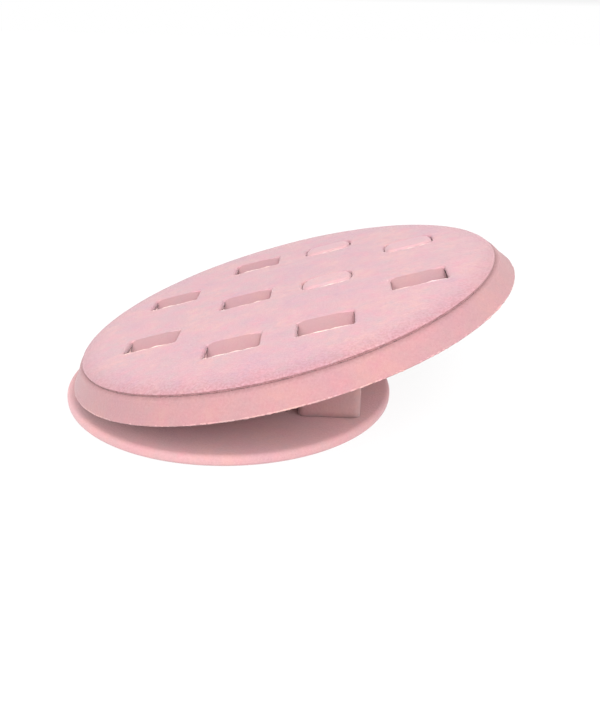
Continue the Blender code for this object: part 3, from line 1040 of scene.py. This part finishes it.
def build_skirt():
    """The conical skirt with a rolled lower edge and a puckered upper one."""
    crest = SEAM_HEIGHT - CREST_DROP
    slope = (RIM_RADIUS - SEAM_RADIUS) / SEAM_HEIGHT
    outer = [(SEAM_RADIUS - 1.3, crest - 0.30), (SEAM_RADIUS - 0.6, crest - 0.08)]
    outer.append((SEAM_RADIUS + 0.05, crest - 0.10))
    for height in (6.1, 5.1, 4.0, 2.8, 1.7):
        outer.append((RIM_RADIUS + HEM_PROUD - slope * height, height))
    rim = RIM_RADIUS + HEM_PROUD
    outer += [(rim - 0.30, 0.75), (rim, 0.36), (rim - 0.28, 0.02), (rim - 1.4, 0.0)]
    outline = curve(outer, CURVE_STEPS)
    inner = [(RIM_RADIUS - 4.7, 0.02), (RIM_RADIUS - 4.7, 0.75), (RIM_RADIUS - 1.5, 0.9)]
    inner += [(SEAM_RADIUS - 0.75, crest - 1.0), (SEAM_RADIUS - 1.3, crest - 0.85)]
    profile = outline + inner

    def shake(x, y, height):
        radial = 0.10 * wander(x, y, height, 26.0, 2.0) + 0.05 * wander(x, y, height, 7.0, 6.0)
        upper = smoothstep(SEAM_HEIGHT - 1.6, SEAM_HEIGHT - 0.4, height)
        lower = 1.0 - smoothstep(0.0, 1.4, height)
        radial += 0.08 * upper * wander(x, y, height, 1.7, 7.0)
        rise = 0.10 * upper * wander(x, y, height, 2.4, 9.0)
        radial += 0.06 * lower * wander(x, y, height, 1.5, 1.0)
        return radial, rise

    points, faces = turned(profile, SKIRT_STEPS, shake)
    skirt = make_piece("velvet_skirt", points, faces, SKIRT_VELVET)
    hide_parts("skirt_cover")


def build_base():
    """The round cover of the base, with a soft rolled edge turned under."""
    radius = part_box("base_cover")[1].x / MM
    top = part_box("base_cover")[1].z / MM
    felt_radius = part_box("base_felt")[1].x / MM
    board_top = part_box("base_board")[1].z / MM
    flat = [(distance, top) for distance in (2.0, 8.0, 16.0, 24.0, 32.0, 40.0, 46.0, 51.0, 55.0, 57.2)]
    rolled = [(radius - 1.5, top - 0.08), (radius - 0.65, top - 0.42), (radius - 0.12, top - 1.15)]
    rolled += [(radius, top - 2.0), (radius - 0.10, 1.0), (radius - 0.6, 0.32), (radius - 1.4, 0.10)]
    inner = [(felt_radius + 0.3, 0.12), (felt_radius + 0.3, 0.7), (radius - 0.7, 0.7)]
    inner.append((radius - 0.75, board_top + 0.3))
    profile = curve(flat + rolled, CURVE_STEPS) + inner
    points = [(0.0, 0.0, top)]
    rings = []
    for distance, height in profile:
        ring = []
        for step in range(BASE_STEPS):
            angle = 2.0 * math.pi * step / BASE_STEPS
            x = distance * math.cos(angle)
            y = distance * math.sin(angle)
            sway = 0.04 * wander(x, y, height, 14.0, 5.0) + 0.02 * wander(x, y, height, 3.0, 5.0)
            side = 1.0 - abs(height - top / 2.0) / (top / 2.0)
            scale = 1.0 + sway * side / max(distance, 1.0)
            rise = sway if height > top - 0.6 and distance < radius - 1.0 else 0.0
            ring.append(len(points))
            points.append((x * scale, y * scale, height + rise - 0.05))
        rings.append(ring)
    below = len(points)
    points.append((0.0, 0.0, board_top + 0.3))
    faces = []
    for one, two in zip(rings, rings[1:]):
        band(faces, one, two)
    for step in range(BASE_STEPS):
        after = (step + 1) % BASE_STEPS
        faces.append((0, rings[0][step], rings[0][after]))
        faces.append((below, rings[-1][after], rings[-1][step]))
    base = make_piece("velvet_base", points, faces, BASE_VELVET, in_tray=False)
    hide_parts("base_cover")


def build_neck():
    """The velvet wrap of the support block, its top cut to the tray's slope."""
    low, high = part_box("neck_wrap")
    middle = ((low.x + high.x) / 2.0 / MM, (low.y + high.y) / 2.0 / MM)
    half_length = (high.x - low.x) / 2.0 / MM
    half_width = (high.y - low.y) / 2.0 / MM
    bottom = low.z / MM
    wrap = node_points("neck_wrap")
    high_side = wrap[wrap[:, 0] > high.x / MM - 0.01][:, 2].max()
    slope = UPHILL.z / UPHILL.x
    outline = loop_offset(half_length, half_width, NECK_CORNER, 0.0, 1.2)
    points = []

    def ring(inset, share, soft):
        row = []
        for x, y in outline:
            x *= (half_length - inset) / half_length
            y *= (half_width - inset) / half_width
            top = high_side - (half_length - x) * slope - 0.05
            height = bottom + (top - bottom) * share
            foot = 0.15 * math.exp(-((share * 9.0) ** 2))
            flare = soft * (foot - 0.08 + 0.10 * wander(x, y, height, 9.0, 4.0))
            grown = 1.0 + flare / math.hypot(x, y)
            row.append(len(points))
            points.append((middle[0] + x * grown, middle[1] + y * grown, height))
        return row

    rings = [ring(0.0, row / NECK_ROWS, 1.0) for row in range(NECK_ROWS + 1)]
    rings += [ring(NECK_WALL, 1.0, 0.0), ring(NECK_WALL, 0.0, 0.0)]
    neck = make_piece("velvet_neck", points, looped(rings), NECK_VELVET, in_tray=False)
    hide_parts("neck_wrap")


# ---------------- the whole stand

build_pad()
for number, pocket in POCKET.items():
    build_tongue(number, pocket)
    build_liner(number, pocket)
    build_cut_edge(number, pocket)
build_skirt()
build_pile("hem_pile", RIM_RADIUS + HEM_PROUD - 0.22, 0.30, 0.26, HEM_VELVET)
build_pile("seam_pile", SEAM_RADIUS - 0.42, SEAM_HEIGHT - 0.52, 0.30, SKIRT_VELVET)
build_base()
build_neck()


# ---------------- floor, light and camera

# The surroundings: a direction's value from and to, and the strength at each.
LOW_DOWN = (0.02, 0.08, 1.0, 0.0)
IN_FRONT = (0.3, -0.8, 0.60, 1.05)
TABLE_REACH = 6.0
NEAR_GLOW = 0.87
GLOW_START = 0.20
GLOW_END = 0.75
CAMERA_PLACE = (35.034, -277.641, 129.422)
CAMERA_AIM = (-0.02975, 0.9197, -0.39149)
CAMERA_SIDE = (0.99887, 0.04192, 0.02259)
CAMERA_LENS = 39.993


def build_floor():
    """A plain white table. It glows enough to keep only a faint shadow, and a little
    more far away, where the lights reach it less. Its sizes are metres."""
    sides = ((-1, -1), (1, -1), (1, 1), (-1, 1))
    mesh = bpy.data.meshes.new("floor")
    corners = [(x * TABLE_REACH, y * TABLE_REACH, 0.0) for x, y in sides]
    mesh.from_pydata(corners, [], [(0, 1, 2, 3)])
    floor = bpy.data.objects.new("floor", mesh)
    bpy.context.scene.collection.objects.link(floor)
    material, shader = new_material("white_table")
    add, links = node_maker(material)
    place = add("ShaderNodeTexCoord").outputs["Object"]
    cloud = noise_layer(add, links, place, 6.0, 3.0, 0.3, 0.7)
    tone = blend_colours(add, links, cloud, (0.12, 0.12, 0.12), (0.11, 0.11, 0.11))
    links.new(tone, shader.inputs["Base Color"])
    shader.inputs["Roughness"].default_value = 0.9
    shader.inputs["Specular IOR Level"].default_value = 0.0
    distance = add("ShaderNodeVectorMath", operation="LENGTH")
    links.new(place, distance.inputs[0])
    far = stretched(add, links, distance.outputs["Value"], GLOW_START, GLOW_END)
    glow = blend_colours(add, links, far, (NEAR_GLOW, NEAR_GLOW, NEAR_GLOW), (1.0, 1.0, 1.0))
    links.new(glow, shader.inputs["Emission Color"])
    shader.inputs["Emission Strength"].default_value = 1.0
    mesh.materials.append(material)


def add_area(name, place, aim, size, power):
    """A square soft white light aimed at a point: millimetres and watts."""
    data = bpy.data.lights.new(name, "AREA")
    data.size = size * MM
    data.energy = power
    light = bpy.data.objects.new(name, data)
    bpy.context.scene.collection.objects.link(light)
    light.location = Vector(place) * MM
    direction = Vector(aim) - Vector(place)
    light.rotation_euler = direction.to_track_quat("-Z", "Y").to_euler()


def build_light():
    """White studio surroundings, bright in front and low down, and three soft lights."""
    world = bpy.data.worlds.new("white room")
    world.use_nodes = True
    background = world.node_tree.nodes["Background"]
    nodes = world.node_tree.nodes
    links = world.node_tree.links
    spread = nodes.new("ShaderNodeSeparateXYZ")
    links.new(nodes.new("ShaderNodeTexCoord").outputs["Generated"], spread.inputs[0])
    brightest = nodes.new("ShaderNodeMath")
    brightest.operation = "MAXIMUM"
    for slot, (axis, ends) in enumerate((("Z", LOW_DOWN), ("Y", IN_FRONT))):
        node = nodes.new("ShaderNodeMapRange")
        for socket, value in zip(("From Min", "From Max", "To Min", "To Max"), ends):
            node.inputs[socket].default_value = value
        links.new(spread.outputs[axis], node.inputs["Value"])
        links.new(node.outputs["Result"], brightest.inputs[slot])
    background.inputs["Color"].default_value = (1.0, 1.0, 1.0, 1.0)
    links.new(brightest.outputs[0], background.inputs["Strength"])
    bpy.context.scene.world = world
    add_area("key", (200.0, -680.0, 640.0), (10.0, 0.0, 20.0), 600.0, 11.0)
    add_area("right fill", (620.0, -460.0, 300.0), (40.0, 0.0, 30.0), 400.0, 2.0)
    add_area("left fill", (-600.0, -560.0, 460.0), (0.0, 0.0, 20.0), 400.0, 4.9)


def build_camera():
    """The camera of the photograph: where it stands and how it is turned."""
    forward = Vector(CAMERA_AIM).normalized()
    right = Vector(CAMERA_SIDE)
    right = (right - forward * right.dot(forward)).normalized()
    up = right.cross(forward)
    data = bpy.data.cameras.new("camera")
    data.lens = CAMERA_LENS
    data.sensor_width = 36.0
    data.clip_start = 0.01
    camera = bpy.data.objects.new("camera", data)
    bpy.context.scene.collection.objects.link(camera)
    turn = Matrix((right, up, -forward)).transposed()
    camera.matrix_world = Matrix.Translation(Vector(CAMERA_PLACE) * MM) @ turn.to_4x4()
    bpy.context.scene.camera = camera


build_floor()
build_light()
build_camera()
bpy.context.scene.view_settings.view_transform = "Standard"
